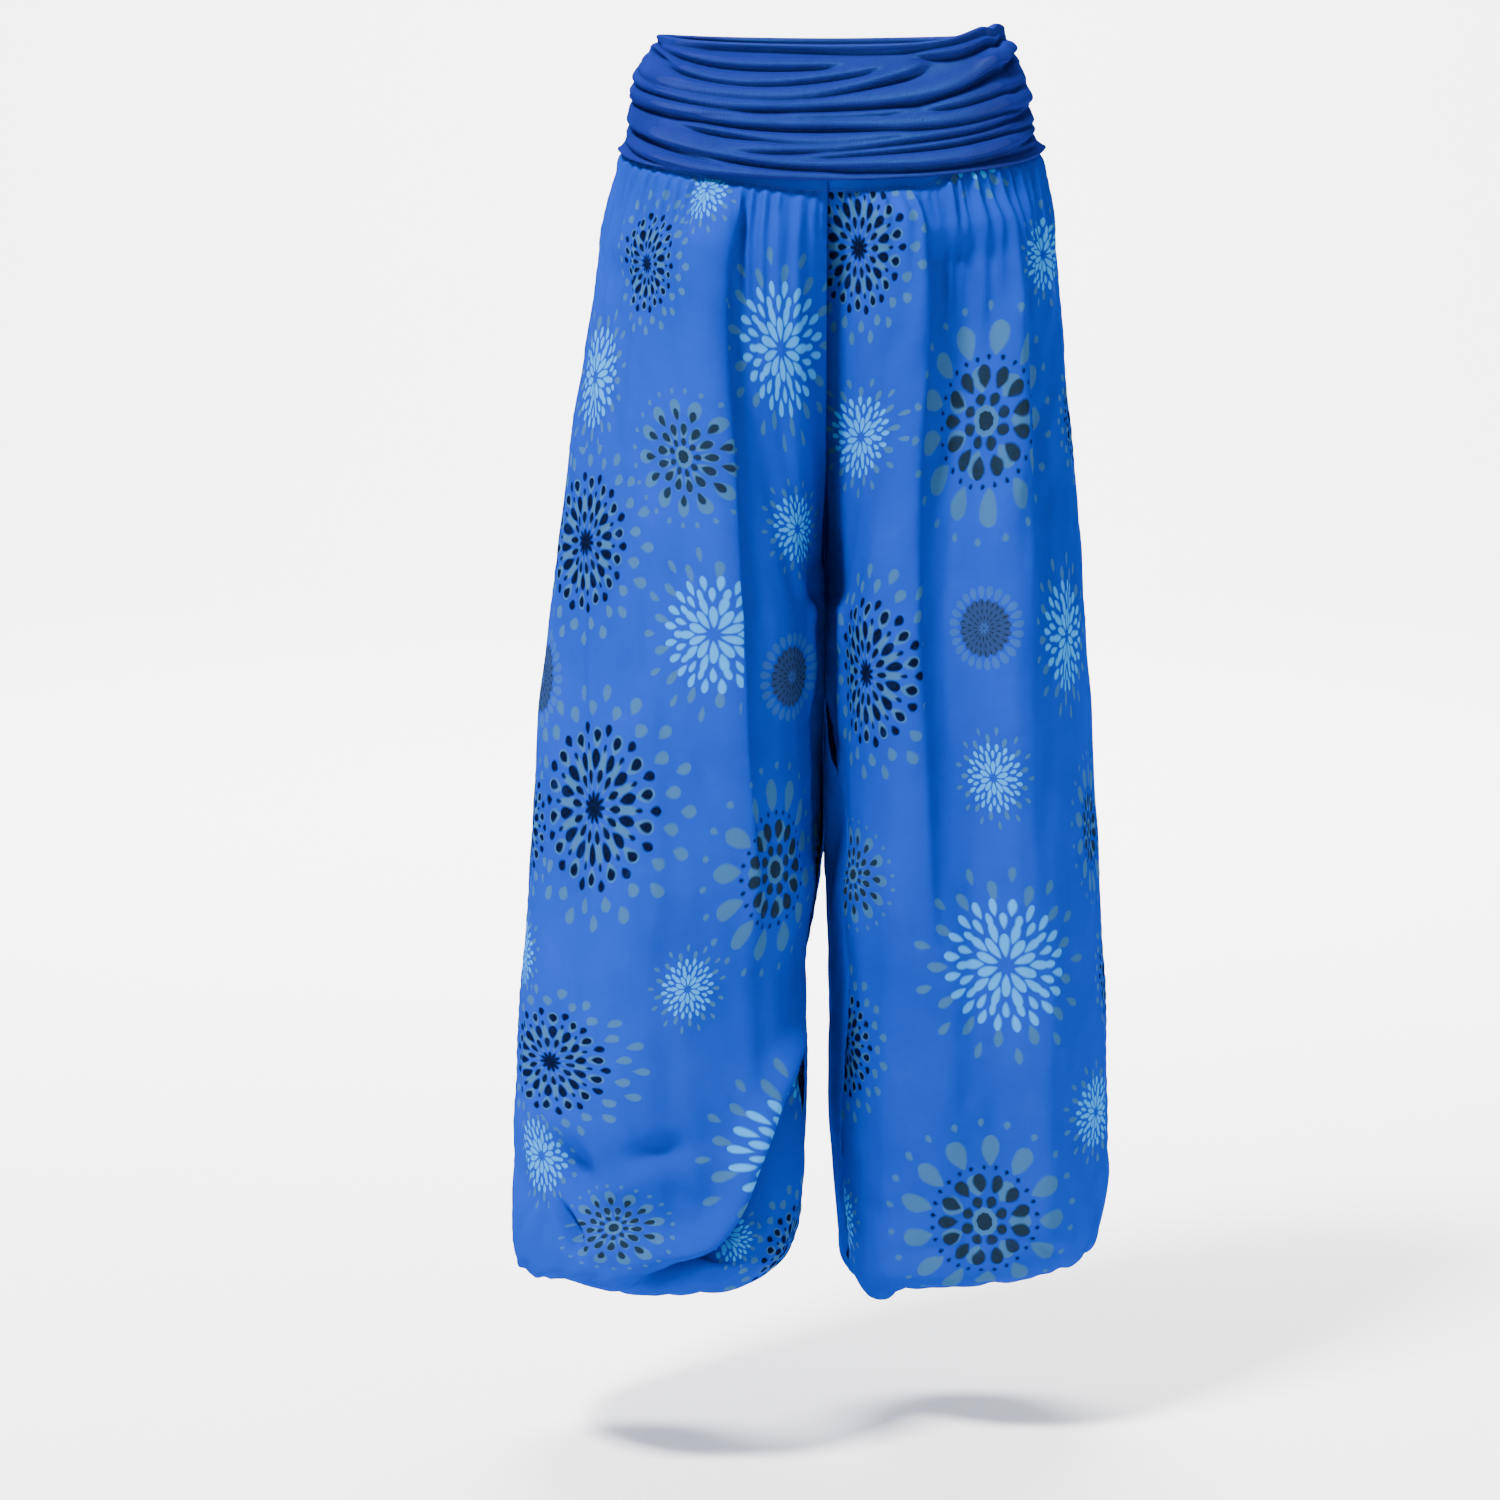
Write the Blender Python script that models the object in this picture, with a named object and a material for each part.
"""Harem trousers in their worn, hollow form.

A ruched jersey waistband of two pieces sits over four woven panels. The panels are
gathered under the band, balloon down both legs and turn under at elastic ankles.
The wearer's right leg (-X) steps forward, the left one (+X) trails. The front faces -Y.
The origin is the middle of the waist opening, at the level of the band's top edge.
"""
import math
from collections import namedtuple

import bmesh
import bpy
import numpy as np

# ---------------------------------------------------------------- driving sizes (metres)
CLOTH = 0.0015              # woven panel wall
JERSEY = 0.0020             # waistband wall
CASING = 0.0030             # turned ankle hem with its elastic
CASING_CLEARANCE = 0.0006   # casing inside the gathered end of the leg
SEAM_GAP = 0.0003           # between pieces that are sewn together
BAND_CLEARANCE = 0.0004     # panels inside the waistband, measured at the corner points

WAIST_SEAM = 0.074          # below the origin, where the panels start inside the band
LIP = 0.089                 # below the origin, the band's free lower edge at the sides
FRONT_DIP = 0.016           # the lip and the gathered seam hang lower at centre front
BACK_DIP = 0.009
DIP_END = 0.300             # below the origin, where the cross threads are level again
CROTCH = 0.430              # below the origin, where the four panels meet
CASING_HEIGHT = 0.022

BODY_ROUNDNESS = 2.25       # superellipse power of the hips
LEG_ROUNDNESS = 2.2         # superellipse power of a leg's outer half
FRONT_RISE = 0.60           # power of the centre front seam's curve, lower is a sharper J
BACK_RISE = 0.85
RISE_TOP = 0.105            # below the origin, where the centre seams leave the hip line
SEAM_REACH = 0.55           # of a panel's width, over which the seam's curve is felt
SINK_BELOW_CROTCH = 0.080   # the sides turn from hips to legs down to here
MID_PANEL = 0.5             # of a panel's width

# ------------------------------------------------------------------------ section tables
# height: above the origin; outer and inner: from the centre plane; front and back: along Y;
# square: superellipse power of the inner half, where the two legs lie side by side.
Section = namedtuple("Section", "height outer inner front back square")

RIGHT_LEG = (
    Section(0.010, 0.119, 0.000, -0.087, 0.091, 2.6),
    Section(0.000, 0.124, 0.000, -0.090, 0.094, 2.6),
    Section(-0.037, 0.143, 0.000, -0.098, 0.101, 2.6),
    Section(-0.073, 0.147, 0.000, -0.104, 0.106, 2.8),
    Section(-0.101, 0.155, 0.000, -0.109, 0.111, 2.8),
    Section(-0.156, 0.170, 0.000, -0.116, 0.119, 3.0),
    Section(-0.217, 0.180, 0.000, -0.120, 0.124, 3.0),
    Section(-0.279, 0.191, 0.000, -0.122, 0.125, 3.0),
    Section(-0.341, 0.200, 0.000, -0.124, 0.120, 3.0),
    Section(-0.430, 0.211, 0.0003, -0.128, 0.106, 3.0),
    Section(-0.525, 0.222, 0.0010, -0.138, 0.092, 2.8),
    Section(-0.649, 0.229, 0.0050, -0.154, 0.078, 2.6),
    Section(-0.715, 0.234, 0.0145, -0.164, 0.070, 2.5),
    Section(-0.802, 0.239, 0.0140, -0.179, 0.061, 2.4),
    Section(-0.894, 0.243, 0.0180, -0.195, 0.049, 2.3),
    Section(-0.924, 0.242, 0.0250, -0.197, 0.046, 2.2),
    Section(-0.941, 0.237, 0.0380, -0.188, 0.039, 2.1),
    Section(-0.950, 0.221, 0.0570, -0.171, 0.021, 2.0),
    Section(-0.951, 0.203, 0.0740, -0.147, -0.001, 2.0),
    Section(-0.941, 0.190, 0.0860, -0.130, -0.018, 2.0),
    Section(-0.920, 0.184, 0.0920, -0.123, -0.027, 2.0),
)

LEFT_LEG = (
    Section(0.010, 0.128, 0.000, -0.087, 0.091, 2.6),
    Section(0.000, 0.133, 0.000, -0.090, 0.094, 2.6),
    Section(-0.037, 0.149, 0.000, -0.098, 0.101, 2.6),
    Section(-0.073, 0.154, 0.000, -0.104, 0.106, 2.8),
    Section(-0.101, 0.163, 0.000, -0.109, 0.111, 2.8),
    Section(-0.156, 0.174, 0.000, -0.116, 0.119, 3.0),
    Section(-0.217, 0.181, 0.000, -0.120, 0.124, 3.0),
    Section(-0.279, 0.187, 0.000, -0.122, 0.125, 3.0),
    Section(-0.341, 0.193, 0.000, -0.123, 0.121, 3.0),
    Section(-0.430, 0.200, 0.0003, -0.122, 0.112, 3.0),
    Section(-0.528, 0.206, 0.0010, -0.119, 0.110, 2.8),
    Section(-0.655, 0.215, 0.0015, -0.115, 0.116, 2.6),
    Section(-0.719, 0.219, 0.0040, -0.113, 0.120, 2.5),
    Section(-0.816, 0.223, 0.0040, -0.110, 0.125, 2.4),
    Section(-0.881, 0.224, 0.0080, -0.108, 0.127, 2.3),
    Section(-0.925, 0.220, 0.0110, -0.106, 0.128, 2.2),
    Section(-0.953, 0.210, 0.0130, -0.101, 0.122, 2.1),
    Section(-0.966, 0.192, 0.0200, -0.088, 0.109, 2.0),
    Section(-0.970, 0.174, 0.0350, -0.066, 0.088, 2.0),
    Section(-0.960, 0.160, 0.0520, -0.044, 0.068, 2.0),
    Section(-0.936, 0.153, 0.0610, -0.035, 0.059, 2.0),
)
ANKLE_GATHERS = 9           # round each ankle
ANKLE_GATHER_RISE = 0.0022
ANKLE_GATHER_START = 0.045  # above the end of the cloth, along it
HEM_LIFT = {"right": 0.003, "left": 0.008}      # of the outer side, at the lowest overhang
HEM_LIFT_REACH = 0.085      # along the cloth, above the lowest overhang and below it
# Inseam, turned from a leg's inner middle to the front, as a share of its front half
InseamTurn = namedtuple("InseamTurn", "start full relax_from end knee hem")
INSEAM = {
    "right": InseamTurn(0.440, 0.640, 0.700, 0.920, 0.00, 0.00),
    "left": InseamTurn(0.440, 0.640, 0.700, 0.920, 0.20, 0.13),
}


# ---------------------------------------------------------------------- folds and gathers
# top and low: place round the leg at the fold's start and end, 0 at centre front or the
# inner middle, 1 at the side seam, 2 at centre back; start and end: down the cloth;
# rise: out of the cloth; before and after: half-widths towards centre front and away.
Fold = namedtuple("Fold", "top low start end rise before after")
FOLDS = {
    "right": (
        Fold(0.390, 0.410, 0.090, 0.66, 0.0065, 0.012, 0.036),
        Fold(0.325, 0.350, 0.090, 0.62, -0.0055, 0.016, 0.011),
        Fold(0.640, 0.600, 0.120, 0.80, 0.0030, 0.016, 0.022),
        Fold(0.550, 0.520, 0.100, 0.70, -0.0030, 0.018, 0.016),
        Fold(0.160, 0.140, 0.110, 0.60, 0.0030, 0.016, 0.016),
        Fold(1.300, 1.300, 0.100, 0.60, -0.0045, 0.018, 0.024),
        Fold(1.480, 1.440, 0.100, 0.75, 0.0055, 0.022, 0.014),
        Fold(1.720, 1.620, 0.100, 0.55, -0.0050, 0.016, 0.022),
        Fold(1.150, 1.200, 0.140, 0.80, 0.0030, 0.024, 0.024),
    ),
    "left": (
        Fold(0.265, 0.380, 0.090, 0.74, 0.0055, 0.040, 0.012),
        Fold(0.340, 0.445, 0.090, 0.80, -0.0060, 0.011, 0.020),
        Fold(0.560, 0.560, 0.100, 0.90, 0.0045, 0.014, 0.024),
        Fold(0.640, 0.760, 0.100, 0.45, -0.0040, 0.014, 0.016),
        Fold(0.600, 0.280, 0.640, 0.95, 0.0035, 0.030, 0.030),
        Fold(1.240, 1.280, 0.100, 0.75, -0.0045, 0.020, 0.018),
        Fold(1.440, 1.400, 0.100, 0.65, 0.0050, 0.016, 0.024),
        Fold(1.660, 1.580, 0.100, 0.80, -0.0050, 0.022, 0.016),
        Fold(1.840, 1.760, 0.120, 0.50, 0.0040, 0.016, 0.016),
    ),
}
FOLD_FADE = 0.25            # of a fold's length, at its lower end
FOLD_LEAD = 0.045           # over which a fold rises at its upper end

# Gathers at the top seam: place round the leg, width of the crest, and how far down it runs
Gather = namedtuple("Gather", "place rise width reach")

FRONT_GATHERS = {
    "right": (
        Gather(0.07, 0.0024, 0.0055, 0.16), Gather(0.16, 0.0028, 0.0060, 0.20),
        Gather(0.24, 0.0030, 0.0050, 0.18), Gather(0.31, 0.0026, 0.0050, 0.14),
        Gather(0.41, 0.0030, 0.0080, 0.28), Gather(0.52, 0.0024, 0.0065, 0.18),
        Gather(0.62, 0.0028, 0.0060, 0.24), Gather(0.72, 0.0024, 0.0060, 0.14),
        Gather(0.82, 0.0026, 0.0065, 0.20), Gather(0.92, 0.0022, 0.0060, 0.16),
    ),
    "left": (
        Gather(0.08, 0.0020, 0.0065, 0.12), Gather(0.18, 0.0016, 0.0080, 0.12),
        Gather(0.29, 0.0024, 0.0070, 0.16), Gather(0.42, 0.0026, 0.0055, 0.20),
        Gather(0.50, 0.0028, 0.0060, 0.26), Gather(0.59, 0.0026, 0.0060, 0.18),
        Gather(0.67, 0.0028, 0.0055, 0.22), Gather(0.76, 0.0026, 0.0060, 0.16),
        Gather(0.85, 0.0028, 0.0060, 0.20), Gather(0.93, 0.0022, 0.0055, 0.14),
    ),
}
BACK_GATHERS = {
    "right": (
        Gather(1.050, 0.0025, 0.0060, 0.18), Gather(1.166, 0.0030, 0.0060, 0.18),
        Gather(1.228, 0.0022, 0.0060, 0.18), Gather(1.363, 0.0022, 0.0060, 0.19),
        Gather(1.455, 0.0030, 0.0060, 0.17), Gather(1.531, 0.0025, 0.0060, 0.19),
        Gather(1.671, 0.0020, 0.0060, 0.17), Gather(1.742, 0.0028, 0.0060, 0.19),
        Gather(1.840, 0.0027, 0.0060, 0.16), Gather(1.971, 0.0020, 0.0060, 0.20),
    ),
    "left": (
        Gather(1.072, 0.0030, 0.0060, 0.23), Gather(1.133, 0.0023, 0.0060, 0.13),
        Gather(1.250, 0.0021, 0.0060, 0.23), Gather(1.366, 0.0029, 0.0060, 0.13),
        Gather(1.428, 0.0026, 0.0060, 0.23), Gather(1.563, 0.0020, 0.0060, 0.13),
        Gather(1.655, 0.0028, 0.0060, 0.23), Gather(1.731, 0.0028, 0.0060, 0.13),
        Gather(1.871, 0.0020, 0.0060, 0.23), Gather(1.941, 0.0025, 0.0060, 0.13),
    ),
}
GATHER_LEAD = 0.030         # over which a gather rises, down from the seam

# The forward leg's front cloth hangs over its inner side in one long sweeping crease.
CreasePoint = namedtuple("CreasePoint", "place down")
SWEEP = (
    CreasePoint(0.050, 0.700), CreasePoint(0.125, 0.752), CreasePoint(0.220, 0.798),
    CreasePoint(0.275, 0.840), CreasePoint(0.320, 0.882), CreasePoint(0.380, 0.904),
    CreasePoint(0.470, 0.915), CreasePoint(0.600, 0.925),
)
SWEEP_SAMPLES = 80
SWEEP_OVERHANG = 0.0070
SWEEP_OVERHANG_AT = -0.016
SWEEP_OVERHANG_WIDTH = 0.015
SWEEP_TROUGH = -0.0130
SWEEP_TROUGH_AT = 0.004
SWEEP_TROUGH_WIDTH = 0.012
SWEEP_FADE_IN = 0.20        # of its length, at its upper end
SWEEP_FADE_OUT = 0.30       # and at the hem

# Short dimples of the forward leg's front, above its hem
Dimple = namedtuple("Dimple", "place down rise across along")
DIMPLES = {
    "right": (
        Dimple(0.690, 0.842, -0.0035, 0.024, 0.016), Dimple(0.510, 0.830, -0.0030, 0.022, 0.012),
        Dimple(0.700, 0.896, -0.0065, 0.010, 0.016), Dimple(0.790, 0.880, 0.0030, 0.016, 0.024),
    ),
    "left": (
        Dimple(0.250, 0.905, -0.0030, 0.014, 0.018), Dimple(0.860, 0.915, -0.0035, 0.012, 0.020),
    ),
}


# ----------------------------------------------------------------------- waistband folds
# left, middle and right: the fold's depth as a share of the band's height, at the wearer's
# right seam, at the middle and at the left seam; start and end: its reach across the band,
# -1 at the right seam and 1 at the left one; rise and width: of its crest.
Ruche = namedtuple("Ruche", "left middle right start end rise width")

FRONT_RUCHES = (
    Ruche(0.02, 0.02, 0.02, -1.10, 1.10, 0.0020, 0.0045),
    Ruche(0.04, 0.19, 0.10, -0.80, -0.10, 0.0022, 0.0045),
    Ruche(0.24, 0.31, 0.10, -0.70, 0.30, 0.0026, 0.0050),
    Ruche(0.26, 0.41, 0.12, -0.95, 0.55, 0.0026, 0.0050),
    Ruche(0.36, 0.46, 0.14, -1.05, 1.05, 0.0036, 0.0055),
    Ruche(0.50, 0.59, 0.52, -1.05, 1.05, 0.0030, 0.0055),
    Ruche(0.66, 0.70, 0.60, -0.75, 0.20, 0.0020, 0.0045),
    Ruche(0.78, 0.74, 0.60, -0.35, 1.00, 0.0028, 0.0050),
    Ruche(0.84, 0.83, 0.72, -0.10, 1.02, 0.0024, 0.0045),
    Ruche(0.74, 0.90, 0.84, -1.05, 1.05, 0.0034, 0.0060),
    Ruche(0.99, 0.99, 0.99, -1.10, 1.10, 0.0016, 0.0040),
)
BACK_RUCHES = (
    Ruche(0.02, 0.02, 0.02, -1.10, 1.10, 0.0020, 0.0045),
    Ruche(0.12, 0.20, 0.08, -1.00, 0.30, 0.0026, 0.0050),
    Ruche(0.20, 0.32, 0.24, -0.40, 1.00, 0.0028, 0.0050),
    Ruche(0.34, 0.44, 0.30, -1.05, 1.05, 0.0034, 0.0055),
    Ruche(0.46, 0.58, 0.52, -1.05, 0.60, 0.0028, 0.0050),
    Ruche(0.62, 0.68, 0.58, -0.60, 1.05, 0.0030, 0.0055),
    Ruche(0.70, 0.80, 0.74, -1.05, 0.70, 0.0026, 0.0050),
    Ruche(0.82, 0.90, 0.80, -1.05, 1.05, 0.0032, 0.0055),
    Ruche(0.99, 0.99, 0.99, -1.10, 1.10, 0.0016, 0.0040),
)
RUCHE_FADE = 0.22           # of the half band, over which a fold fades at its ends
SEAM_PINCH = 0.0012         # the gathered side seams pull in
SEAM_PINCH_WIDTH = 0.06
LIP_FLARE = 0.0016          # the free edge stands off the gathered cloth
LIP_FLARE_FROM = 0.70
SIDE_LIP = 0.0022           # the seam's end pokes out at the free edge
SIDE_LIP_FROM = 0.85        # of the band's height
TOP_HUMP = 0.008            # the top edge rides up near the wearer's left seam
TOP_HUMP_AT = 0.78
TOP_HUMP_WIDTH = 0.16
TOP_SAG = 0.003


# ------------------------------------------------------------------- points and materials
CURVE_POINTS = 241          # on each half ring, before it is divided evenly
PANEL_COLUMNS = 36          # across one panel in its finely folded stretches, half elsewhere
ROWS = {                    # rows down the cloth, from each depth on
    "waist": (WAIST_SEAM, 0.090, 2), "gathers": (0.090, 0.250, 6), "hips": (0.250, 0.400, 4),
    "crotch": (0.400, CROTCH, 2), "thigh": (CROTCH, 0.720, 6), "calf": (0.720, 0.900, 5),
}
HEM_ROWS = 8
FINE_STRETCHES = {          # down the cloth, where a panel keeps every column
    "front_right": ((0.0, 0.260), (0.700, 0.950)), "front_left": ((0.0, 0.260),),
    "back_right": ((0.0, 0.260),), "back_left": ((0.0, 0.260),),
}
BAND_COLUMNS = 24
BAND_ROWS = 28
BAND_INNER_ROWS = 6

COLOURS = {"cloth": (0.045, 0.178, 0.640), "jersey": (0.020, 0.082, 0.440)}


# ------------------------------------------------------------------------ small functions
def smoothstep(low, high, value):
    """0 below low, 1 above high, smooth between."""
    t = np.clip((value - low) / (high - low), 0.0, 1.0)
    return t * t * (3.0 - 2.0 * t)


def through(knots, values, at):
    """Smooth curve through a table's values, which never overshoots them."""
    knots = np.asarray(knots, float)
    values = np.asarray(values, float)
    step = np.diff(knots)
    slope = np.diff(values) / step
    tangent = np.zeros(len(knots))
    same_way = slope[:-1] * slope[1:] > 0.0
    weight_a = 2.0 * step[1:] + step[:-1]
    weight_b = step[1:] + 2.0 * step[:-1]
    safe_a = np.where(same_way, slope[:-1], 1.0)
    safe_b = np.where(same_way, slope[1:], 1.0)
    harmonic = (weight_a + weight_b) / (weight_a / safe_a + weight_b / safe_b)
    tangent[1:-1] = np.where(same_way, harmonic, 0.0)
    tangent[0] = slope[0]
    tangent[-1] = slope[-1]
    at = np.clip(at, knots[0], knots[-1])
    i = np.clip(np.searchsorted(knots, at) - 1, 0, len(step) - 1)
    t = (at - knots[i]) / step[i]
    return ((1 + 2 * t) * (1 - t) ** 2 * values[i] + t * (1 - t) ** 2 * step[i] * tangent[i]
            + t * t * (3 - 2 * t) * values[i + 1] + t * t * (t - 1) * step[i] * tangent[i + 1])


def along_cloth(table):
    """Distance down the cloth of each section: depth to the crotch, then length along it."""
    distances = []
    for i, row in enumerate(table):
        if -row.height <= CROTCH:
            distances.append(-row.height)
        else:
            last = table[i - 1]
            distances.append(distances[-1] + math.hypot(row.height - last.height,
                                                        row.outer - last.outer))
    return distances


def section_at(table, down):
    """The section of a table at one distance down the cloth."""
    knots = along_cloth(table)
    return Section(*(float(through(knots, [getattr(row, name) for row in table], down))
                     for name in Section._fields))


def along(points, fractions):
    """Points at given fractions of a polyline's length, and that length."""
    lengths = np.concatenate(([0.0], np.cumsum(np.linalg.norm(np.diff(points, axis=0), axis=1))))
    picked = [np.interp(np.asarray(fractions) * lengths[-1], lengths, points[:, axis])
              for axis in range(points.shape[1])]
    return np.stack(picked, axis=1), lengths[-1]


def signed_power(value, power):
    """Power of a value's size, with the value's sign."""
    return np.sign(value) * np.abs(value) ** power


# ---------------------------------------------------------------------------- base forms
def hip_halves(section):
    """Half of the hips, as its front arc and its back arc, from centre front to centre back."""
    power = 2.0 / BODY_ROUNDNESS
    middle = 0.5 * (section.front + section.back)
    half_depth = 0.5 * (section.back - section.front)

    def arc(start, end):
        angle = np.linspace(start, end, CURVE_POINTS)
        return np.stack((section.outer * signed_power(np.sin(angle), power),
                         middle - half_depth * signed_power(np.cos(angle), power)), axis=1)

    return arc(0.0, math.pi / 2), arc(math.pi / 2, math.pi)


def leg_halves(section, turn):
    """A leg's ring, as its front arc and its back arc, from the inseam and back to it."""
    middle = 0.5 * (section.front + section.back)
    half_depth = 0.5 * (section.back - section.front)
    centre = 0.5 * (section.outer + section.inner)
    half_width = 0.5 * (section.outer - section.inner)

    def arc(start, end):
        angle = np.linspace(start, end, CURVE_POINTS)
        power = 2.0 / np.where(np.cos(angle) > 0.0, section.square, LEG_ROUNDNESS)
        return np.stack((centre - half_width * signed_power(np.cos(angle), power),
                         middle - half_depth * signed_power(np.sin(angle), power)), axis=1)

    front = arc(0.0, math.pi)
    back = arc(math.pi, 2.0 * math.pi)
    moved = along(front, np.linspace(0.0, turn, CURVE_POINTS))[0]
    front = along(front, np.linspace(turn, 1.0, CURVE_POINTS))[0]
    return front, np.concatenate((back, moved[1:]))


def sink(down, power, from_seam):
    """0 where the cloth follows the hips and 1 where it follows the leg.

    Near the centre seam, where from_seam is 0, the change is a J that ends at the crotch.
    """
    above = np.clip((CROTCH - down) / (CROTCH - RISE_TOP), 0.0, 1.0)
    at_seam = 1.0 - math.sin(0.5 * math.pi * above) ** power
    away = float(smoothstep(RISE_TOP, CROTCH + SINK_BELOW_CROTCH, down))
    return at_seam + (away - at_seam) * smoothstep(0.0, SEAM_REACH, from_seam)


def dip(across, down):
    """Height of a cross thread against the level; across is 0 at the front, 1 side, 2 back."""
    depth = np.where(across < 1.0, FRONT_DIP, BACK_DIP)
    shown = smoothstep(0.0, LIP, down) * (1.0 - smoothstep(LIP, DIP_END, down))
    return -depth * np.abs(np.cos(0.5 * math.pi * across)) * shown


def inseam_turn(leg, down):
    """How far the inseam lies in front of a leg's inner middle."""
    inseam = INSEAM[leg]
    relaxed = float(smoothstep(inseam.relax_from, inseam.end, down))
    return ((inseam.knee + (inseam.hem - inseam.knee) * relaxed)
            * float(smoothstep(inseam.start, inseam.full, down)))


def hem_share(leg, down):
    """1 at a leg's lowest overhang, 0 well above it and at the ankle."""
    table = RIGHT_LEG if leg == "right" else LEFT_LEG
    distances = along_cloth(table)
    lowest = distances[min(range(len(table)), key=lambda i: table[i].height)]
    above = smoothstep(lowest - HEM_LIFT_REACH, lowest, down)
    return float(above * (1.0 - smoothstep(lowest, distances[-1], down)))


def base_row(leg, down, across):
    """Points of one cross thread without folds, on the +X side.

    Also each point's place round the leg, which the inseam's turn leaves as it is, and the
    length of the half, front or back, in which it lies.
    """
    section = section_at(RIGHT_LEG if leg == "right" else LEFT_LEG, down)
    turn = inseam_turn(leg, down)
    hips = hip_halves(section)
    rings = leg_halves(section, turn)
    parts = []
    lengths = []
    for half, power in enumerate((FRONT_RISE, BACK_RISE)):
        picked = across[(across <= 1.0) if half == 0 else (across > 1.0)] - half
        weight = sink(down, power, picked if half == 0 else 1.0 - picked)[:, None]
        hip, hip_length = along(hips[half], picked)
        ring, ring_length = along(rings[half], picked)
        parts.append(hip + (ring - hip) * weight)
        share = float(sink(down, power, MID_PANEL))
        unturned = ring_length / (1.0 - turn if half == 0 else 1.0 + turn)
        lengths.append(hip_length + (unturned - hip_length) * share)
    place = np.where(across <= 1.0, turn + across * (1.0 - turn),
                     1.0 + (across - 1.0) * (1.0 + turn))
    outer_side = 0.5 * (1.0 - np.cos(math.pi * place))
    lift = HEM_LIFT[leg] * hem_share(leg, down) * outer_side
    height = section.height + dip(across, down) + lift
    arc = np.where(across <= 1.0, lengths[0], lengths[1])
    return np.column_stack((np.concatenate(parts), height)), place, arc


# ------------------------------------------------------------------------ reliefs
def fold_relief(leg, place, down, arc):
    """How far the large folds stand out of one cross thread."""
    relief = np.zeros(len(place))
    for fold in FOLDS[leg]:
        share = np.clip((down - fold.start) / (fold.end - fold.start), 0.0, 1.0)
        centre = fold.top + (fold.low - fold.top) * share
        distance = (place - centre) * arc
        width = np.where(distance < 0.0, fold.before, fold.after)
        shown = smoothstep(fold.start, fold.start + FOLD_LEAD, down)
        shown = shown * (1.0 - smoothstep(1.0 - FOLD_FADE, 1.0, share))
        relief += fold.rise * np.exp(-(distance / width) ** 2) * shown
    return relief


def gather_relief(leg, place, down, arc):
    """How far the gathers under the waistband stand out of one cross thread."""
    relief = np.zeros(len(place))
    for gather in FRONT_GATHERS[leg] + BACK_GATHERS[leg]:
        distance = (place - gather.place) * arc
        shown = smoothstep(LIP, LIP + GATHER_LEAD, down)
        shown = shown * (1.0 - smoothstep(LIP, LIP + gather.reach, down))
        relief += gather.rise * np.exp(-(distance / gather.width) ** 2) * shown
    return relief


def dimple_relief(leg, place, down, arc):
    """Dips and bumps of one cross thread that are short both ways."""
    relief = np.zeros(len(place))
    for dimple in DIMPLES[leg]:
        off = ((place - dimple.place) * arc / dimple.across) ** 2
        relief += dimple.rise * np.exp(-off - ((down - dimple.down) / dimple.along) ** 2)
    return relief


def sweep_relief(place, down, arc):
    """Overhang and trough of the sweeping crease, by distance from its line."""
    knots = np.linspace(0.0, 1.0, len(SWEEP))
    steps = np.linspace(0.0, 1.0, SWEEP_SAMPLES)
    line_place = through(knots, [point.place for point in SWEEP], steps)
    line_down = through(knots, [point.down for point in SWEEP], steps)
    aside = (place[:, None] - line_place) * arc[:, None]
    below = np.broadcast_to(down - line_down, aside.shape)
    nearest = np.argmin(aside ** 2 + below ** 2, axis=1)
    rows = np.arange(len(place))
    aside = aside[rows, nearest]
    below = below[rows, nearest]
    run = np.gradient(line_place)[nearest] * arc
    fall = np.gradient(line_down)[nearest]
    distance = np.sign(below * run - aside * fall) * np.hypot(aside, below)
    share = steps[nearest]
    shown = smoothstep(0.0, SWEEP_FADE_IN, share)
    shown = shown * (1.0 - smoothstep(1.0 - SWEEP_FADE_OUT, 1.0, share))
    overhang = np.exp(-((distance - SWEEP_OVERHANG_AT) / SWEEP_OVERHANG_WIDTH) ** 2)
    trough = np.exp(-((distance - SWEEP_TROUGH_AT) / SWEEP_TROUGH_WIDTH) ** 2)
    return shown * (SWEEP_OVERHANG * overhang + SWEEP_TROUGH * trough)


def ankle_relief(leg, around, down):
    """Gathers that the ankle elastic draws up round the end of a leg."""
    end = along_cloth(RIGHT_LEG if leg == "right" else LEFT_LEG)[-1]
    shown = smoothstep(end - ANKLE_GATHER_START, end, down)
    return ANKLE_GATHER_RISE * np.cos(math.pi * ANKLE_GATHERS * around) * shown


# ---------------------------------------------------------------------------- leg cloth
def row_depths(leg):
    """Distances down the cloth of every row of points."""
    depths = []
    for start, end, count in ROWS.values():
        depths.extend(np.linspace(start, end, count, endpoint=False))
    hem_start = ROWS["calf"][1]
    hem_end = along_cloth(RIGHT_LEG if leg == "right" else LEFT_LEG)[-1]
    depths.extend(np.linspace(hem_start, hem_end, HEM_ROWS + 1))
    return depths


def normals(grid, closed_rows):
    """Outward unit normals of a grid, with the edges of closed rows averaged."""
    down = np.gradient(grid, axis=0)
    across = np.gradient(grid, axis=1)
    across[closed_rows, 0] = across[closed_rows, -1] = (
        across[closed_rows, 0] + across[closed_rows, -1])
    normal = np.cross(down, across)
    return normal / np.linalg.norm(normal, axis=2, keepdims=True)


def keep_side(grid):
    """Points of the +X side, held back from the centre plane by half a seam gap."""
    held = grid.copy()
    held[..., 0] = np.maximum(held[..., 0], 0.5 * SEAM_GAP)
    return held


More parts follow.
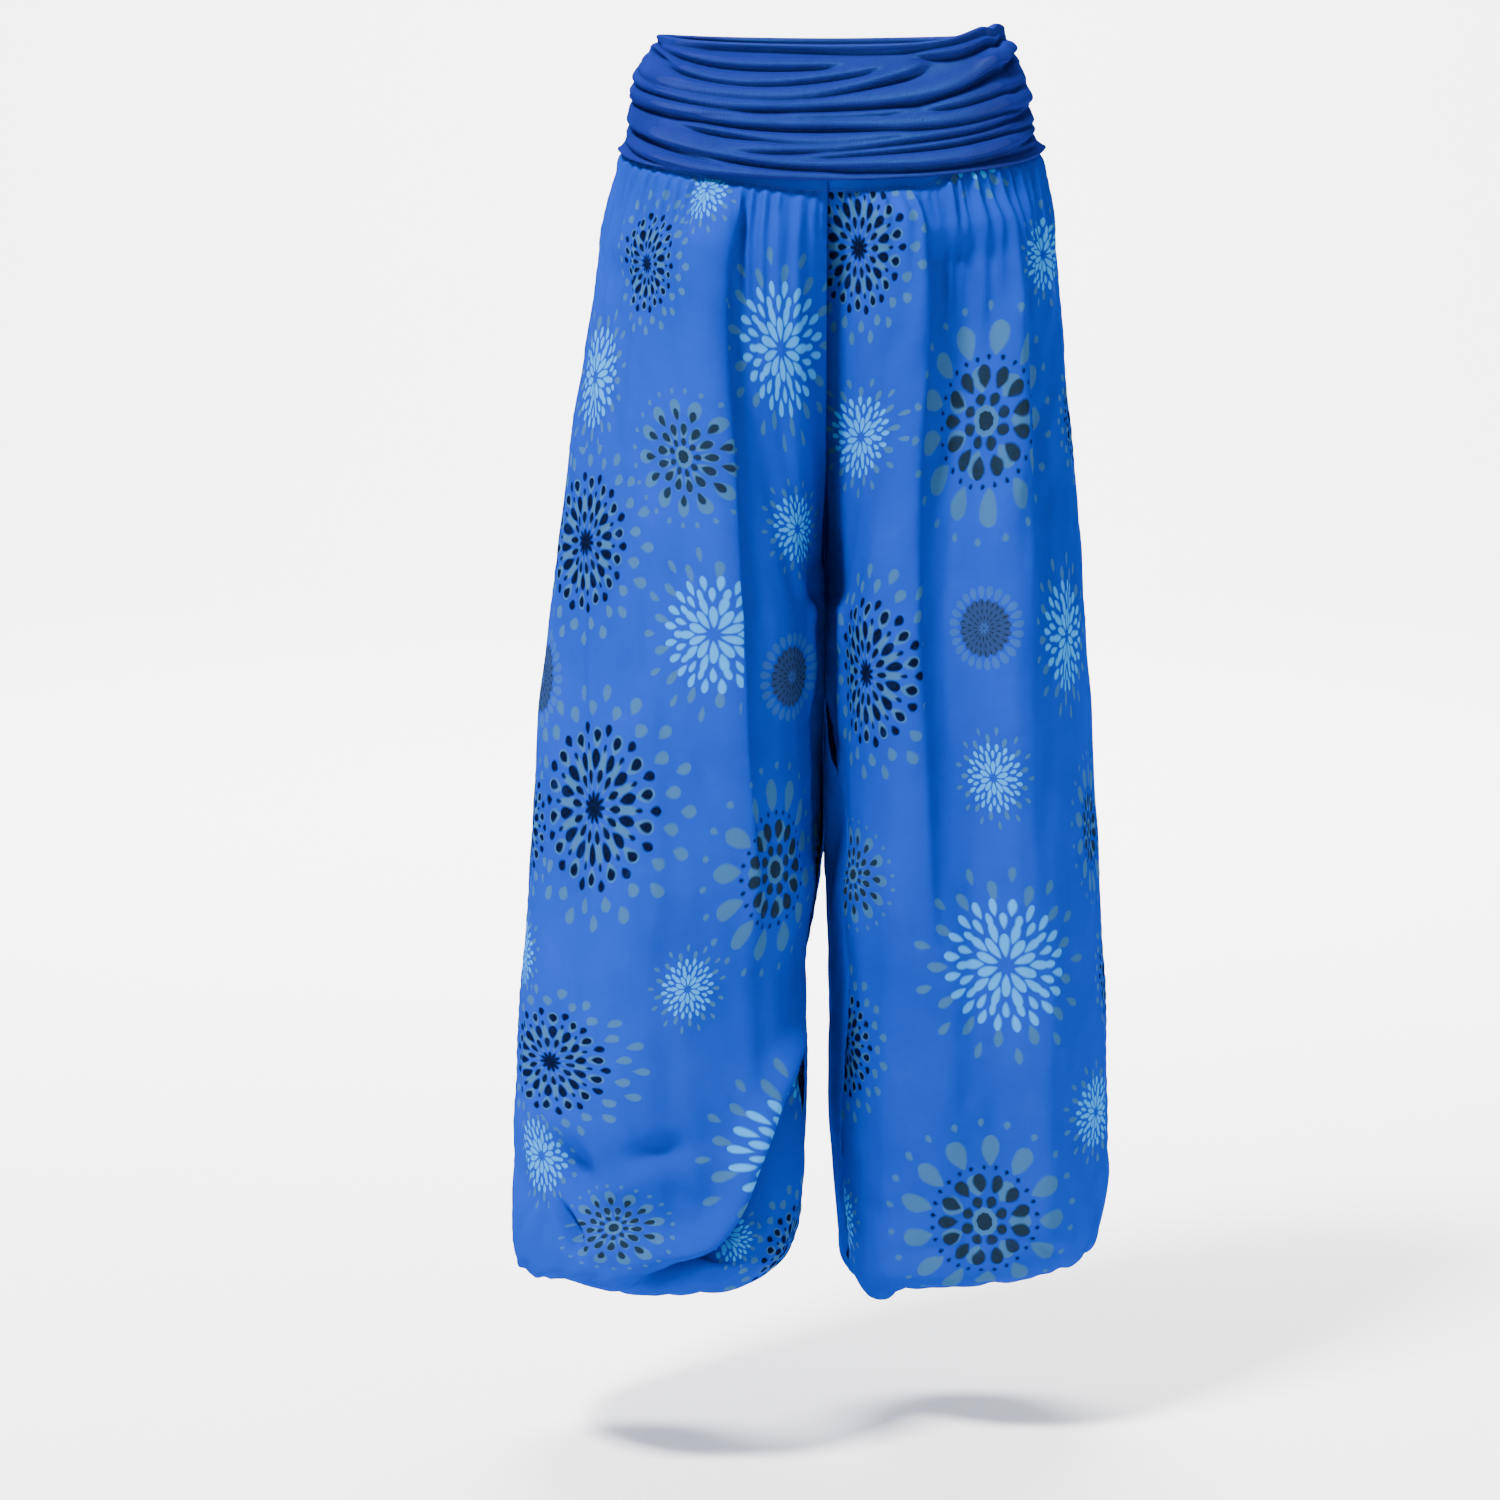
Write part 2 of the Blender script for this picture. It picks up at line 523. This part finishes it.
def leg_grids(leg):
    """Outer and inner points of one leg on the +X side, and where each row lies."""
    around = np.linspace(0.0, 2.0, 2 * PANEL_COLUMNS + 1)
    depths = row_depths(leg)
    rows = []
    reliefs = []
    for down in depths:
        points, place, arc = base_row(leg, down, around)
        relief = fold_relief(leg, place, down, arc) + gather_relief(leg, place, down, arc)
        relief += dimple_relief(leg, place, down, arc) + ankle_relief(leg, around, down)
        if leg == "right":
            relief += sweep_relief(place, down, arc)
        relief -= BAND_CLEARANCE * (1.0 - smoothstep(LIP, LIP + GATHER_LEAD, down))
        rows.append(points)
        reliefs.append(relief)
    base = np.array(rows)
    closed = np.array(depths) >= CROTCH
    outer = keep_side(base + normals(base, closed) * np.array(reliefs)[..., None])
    inner = keep_side(outer - normals(outer, closed) * CLOTH)
    return outer, inner


def part_seam(grid, first, last):
    """Columns first to last of a grid, with each edge drawn back by half a seam gap."""
    piece = grid[:, first:last + 1].copy()
    for edge, neighbour in ((0, 1), (-1, -2)):
        way = piece[:, neighbour] - piece[:, edge]
        piece[:, edge] += 0.5 * SEAM_GAP * way / np.linalg.norm(way, axis=1, keepdims=True)
    return keep_side(piece)


# ------------------------------------------------------------------------------ meshes
def stitch(faces, chain_a, chain_b):
    """Faces between two chains of points, which may differ in number."""
    if len(chain_a) == len(chain_b):
        for i in range(len(chain_a) - 1):
            faces.append((chain_a[i], chain_a[i + 1], chain_b[i + 1], chain_b[i]))
        return
    i = j = 0
    while i < len(chain_a) - 1 or j < len(chain_b) - 1:
        next_a = (i + 1) / (len(chain_a) - 1)
        next_b = (j + 1) / (len(chain_b) - 1)
        if j == len(chain_b) - 1 or (i < len(chain_a) - 1 and next_a <= next_b):
            faces.append((chain_a[i], chain_a[i + 1], chain_b[j]))
            i += 1
        else:
            faces.append((chain_a[i], chain_b[j + 1], chain_b[j]))
            j += 1


def wall(name, outer_rows, inner_rows, material, collection):
    """One closed wall between two faces, each given as rows of points."""
    points = []

    def number(rows):
        chains = []
        for row in rows:
            chains.append(list(range(len(points), len(points) + len(row))))
            points.extend(tuple(float(value) for value in point) for point in row)
        return chains

    outer = number(outer_rows)
    inner = number(inner_rows)
    faces = []
    for chains in (outer, inner):
        for upper, lower in zip(chains, chains[1:]):
            stitch(faces, upper, lower)
    stitch(faces, outer[0], inner[0])
    stitch(faces, outer[-1], inner[-1])
    for edge in (0, -1):
        stitch(faces, [chain[edge] for chain in outer], [chain[edge] for chain in inner])
    mesh = bpy.data.meshes.new(name)
    mesh.from_pydata(points, [], faces)
    face_outwards(mesh)
    mesh.shade_smooth()
    mesh.materials.append(material)
    piece = bpy.data.objects.new(name, mesh)
    collection.objects.link(piece)
    return piece


def face_outwards(mesh):
    """Turn the faces of a closed mesh to point out."""
    shape = bmesh.new()
    shape.from_mesh(mesh)
    bmesh.ops.recalc_face_normals(shape, faces=shape.faces)
    shape.to_mesh(mesh)
    shape.free()


def thinned(grid, depths, stretches):
    """Rows of a panel, with every second column left out outside the given stretches."""
    return [row if any(start <= down <= end for start, end in stretches) else row[::2]
            for row, down in zip(grid, depths)]


def build_leg(leg, material, collection):
    """Front and back panel of one leg."""
    outer, inner = leg_grids(leg)
    mirror = np.array((-1.0, 1.0, 1.0) if leg == "right" else (1.0, 1.0, 1.0))
    for name, first, last in (("front", 0, PANEL_COLUMNS),
                              ("back", PANEL_COLUMNS, 2 * PANEL_COLUMNS)):
        piece = f"{name}_{leg}"
        faces = [thinned(part_seam(grid, first, last) * mirror, row_depths(leg),
                         FINE_STRETCHES[piece]) for grid in (outer, inner)]
        wall(piece, faces[0], faces[1], material, collection)


def build_casing(leg, material, collection):
    """The turned ankle hem: a short ring inside the face that the cloth turns to the ankle."""
    end = leg_grids(leg)[0][-1, ::2]
    centre = 0.5 * (end.min(axis=0) + end.max(axis=0))
    way = end - centre
    way[:, 2] = 0.0
    way /= np.linalg.norm(way, axis=1, keepdims=True)
    mirror = np.array((-1.0, 1.0, 1.0) if leg == "right" else (1.0, 1.0, 1.0))
    top = (end - CASING_CLEARANCE * way)[:-1]
    drop = np.array((0.0, 0.0, -CASING_HEIGHT))
    ring = [top * mirror, (top + drop) * mirror]
    inside = [(top - CASING * way[:-1]) * mirror, (top - CASING * way[:-1] + drop) * mirror]
    tube(f"ankle_casing_{leg}", ring, inside, material, collection)


def tube(name, outer_rows, inner_rows, material, collection):
    """A closed ring wall."""
    count = len(outer_rows[0])
    points = [tuple(float(v) for v in point)
              for row in (*outer_rows, *inner_rows) for point in row]
    outer_top, outer_low, inner_top, inner_low = (
        [start * count + i for i in range(count)] + [start * count] for start in range(4))
    faces = []
    for upper, lower in ((outer_top, outer_low), (inner_top, inner_low),
                         (outer_top, inner_top), (outer_low, inner_low)):
        stitch(faces, upper, lower)
    mesh = bpy.data.meshes.new(name)
    mesh.from_pydata(points, [], faces)
    face_outwards(mesh)
    mesh.materials.append(material)
    piece = bpy.data.objects.new(name, mesh)
    collection.objects.link(piece)
    return piece


# ----------------------------------------------------------------------------- waistband
def ruche_relief(ruches, across, share, height):
    """How far the ruching stands out at one place of the band."""
    relief = 0.0
    for ruche in ruches:
        level = (ruche.middle + 0.5 * (ruche.right - ruche.left) * across
                 + (0.5 * (ruche.left + ruche.right) - ruche.middle) * across * across)
        shown = smoothstep(ruche.start, ruche.start + RUCHE_FADE, across)
        shown = shown * (1.0 - smoothstep(ruche.end - RUCHE_FADE, ruche.end, across))
        distance = (share - level) * height
        relief += ruche.rise * math.exp(-(distance / ruche.width) ** 2) * float(shown)
    return relief


def band_point(across, down, back):
    """A point of the hips' surface: across from -1, right seam, to 1, left seam."""
    leg = "right" if across < 0.0 else "left"
    place = 2.0 - abs(across) if back else abs(across)
    point = base_row(leg, down, np.array([place]))[0][0]
    return np.array((math.copysign(point[0], across), point[1], point[2]))


def band_down(across, share, back):
    """Distance below the origin, before the dip, of a share of the band's height."""
    hump = 0.0 if back else TOP_HUMP * math.exp(-((across - TOP_HUMP_AT) / TOP_HUMP_WIDTH) ** 2)
    top = TOP_SAG * (1.0 - across * across) - hump
    return top + (LIP - top) * share


def band_face(rows, back, outer):
    """Rows of points of the band's outer or inner face."""
    ruches = BACK_RUCHES if back else FRONT_RUCHES
    places = np.linspace(-1.0, 1.0, BAND_COLUMNS + 1)
    grid = np.array([[band_point(across, band_down(across, share, back), back)
                      for across in places] for share in np.linspace(0.0, 1.0, rows + 1)])
    normal = normals(grid, np.zeros(rows + 1, bool))
    if normal[0, BAND_COLUMNS // 2, 1] * (1.0 if back else -1.0) < 0.0:
        normal = -normal
    for i, share in enumerate(np.linspace(0.0, 1.0, rows + 1)):
        for j, across in enumerate(places):
            height = LIP + FRONT_DIP * (1.0 - across * across)
            out = LIP_FLARE * float(smoothstep(LIP_FLARE_FROM, 1.0, share))
            if outer:
                edge = math.exp(-((1.0 - abs(across)) / SEAM_PINCH_WIDTH) ** 2)
                out += JERSEY + ruche_relief(ruches, across, share, height)
                out += (SIDE_LIP * smoothstep(SIDE_LIP_FROM, 1.0, share) - SEAM_PINCH) * edge
            grid[i, j] += normal[i, j] * out
    return grid


def build_band(name, back, material, collection):
    """One half of the waistband, between its gathered side seams."""
    faces = [band_face(BAND_ROWS, back, True), band_face(BAND_INNER_ROWS, back, False)]
    for grid in faces:
        for edge, neighbour in ((0, 1), (-1, -2)):
            way = grid[:, neighbour] - grid[:, edge]
            grid[:, edge] += 0.5 * SEAM_GAP * way / np.linalg.norm(way, axis=1, keepdims=True)
    wall(name, list(faces[0]), list(faces[1]), material, collection)


# ---------------------------------------------------------------------------- materials
def cloth_material(name, colour, roughness, sheen):
    """Plain dyed cloth of one piece."""
    material = bpy.data.materials.new(name)
    material.use_nodes = True
    shader = material.node_tree.nodes["Principled BSDF"]
    shader.inputs["Base Color"].default_value = (*colour, 1.0)
    shader.inputs["Roughness"].default_value = roughness
    shader.inputs["Metallic"].default_value = 0.0
    shader.inputs["Sheen Weight"].default_value = sheen
    return material


def main():
    for thing in list(bpy.data.objects):
        bpy.data.objects.remove(thing, do_unlink=True)
    collection = bpy.data.collections.new("harem_trousers")
    bpy.context.scene.collection.children.link(collection)
    for leg in ("right", "left"):
        build_leg(leg, cloth_material(f"viscose_{leg}", COLOURS["cloth"], 0.75, 0.2), collection)
        build_casing(leg, cloth_material(f"casing_{leg}", COLOURS["cloth"], 0.8, 0.1), collection)
    for name, back in (("waistband_front", False), ("waistband_back", True)):
        build_band(name, back, cloth_material(name, COLOURS["jersey"], 0.85, 0.3), collection)


if __name__ == "__main__":
    main()
